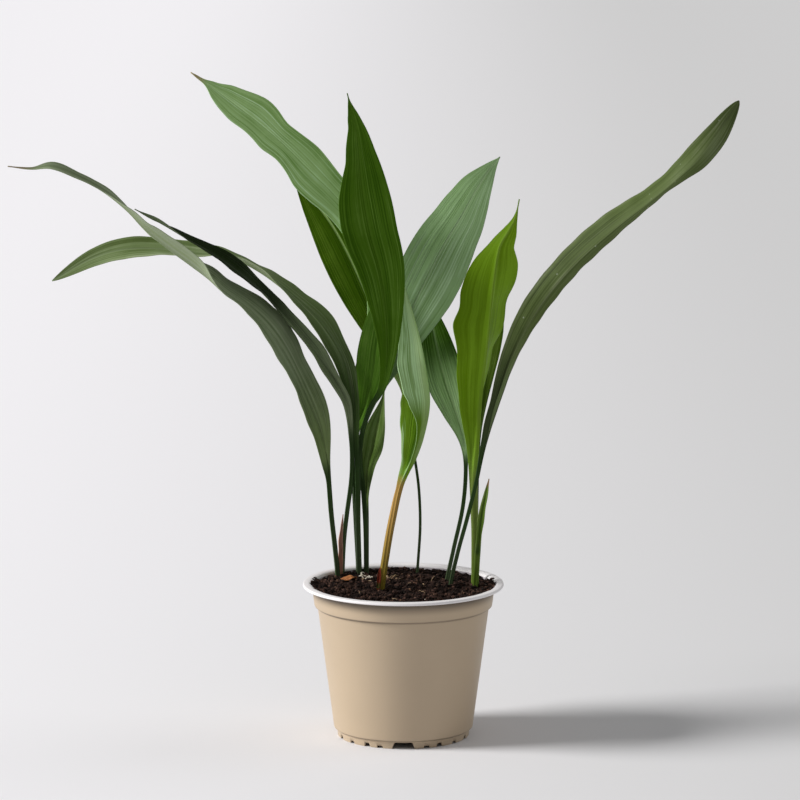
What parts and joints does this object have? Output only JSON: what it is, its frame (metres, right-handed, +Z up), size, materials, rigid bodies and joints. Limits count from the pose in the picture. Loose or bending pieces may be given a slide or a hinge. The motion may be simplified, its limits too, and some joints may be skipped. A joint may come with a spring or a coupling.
{
  "type": "potted cast iron plant",
  "caption": "Cast iron plant in a thin plastic nursery pot: tall strap leaves, each on a stalk of its own, rise and arch out of the soil.",
  "frame": {"origin": "on the pot's axis, on the surface that the pot stands on", "axes": "+Z up along the pot's axis, -Y to the front as the plant is pictured, +X to the right"},
  "size_m": [0.5298, 0.1798, 0.4973],
  "materials": {
    "pot_plastic": "satin moulded plastic, tan, with a white lip and inside",
    "soil": "crumbly dark potting soil",
    "leaf": "leathery satin green with fine veins along it",
    "leaf_pale": "leathery, paler green with a soft sheen",
    "leaf_young": "leathery, fresh yellow-green",
    "dry_sheath": "thin dry brown skin"
  },
  "bodies": {
    "root": {"pot": "pot_plastic", "soil": "soil", "leaf_01": "leaf", "leaf_02": "leaf", "leaf_03": "leaf", "leaf_04": "leaf_pale", "leaf_05": "leaf", "leaf_06": "leaf", "leaf_07": "leaf", "leaf_08": "leaf", "leaf_09": "leaf_pale", "leaf_10": "leaf_pale", "leaf_11": "leaf_young", "leaf_12": "leaf", "leaf_13": "leaf", "leaf_14": "leaf", "sheath_dry": "dry_sheath", "sheath_strip": "dry_sheath", "sheath_green": "leaf_young"}
  },
  "joints": []
}
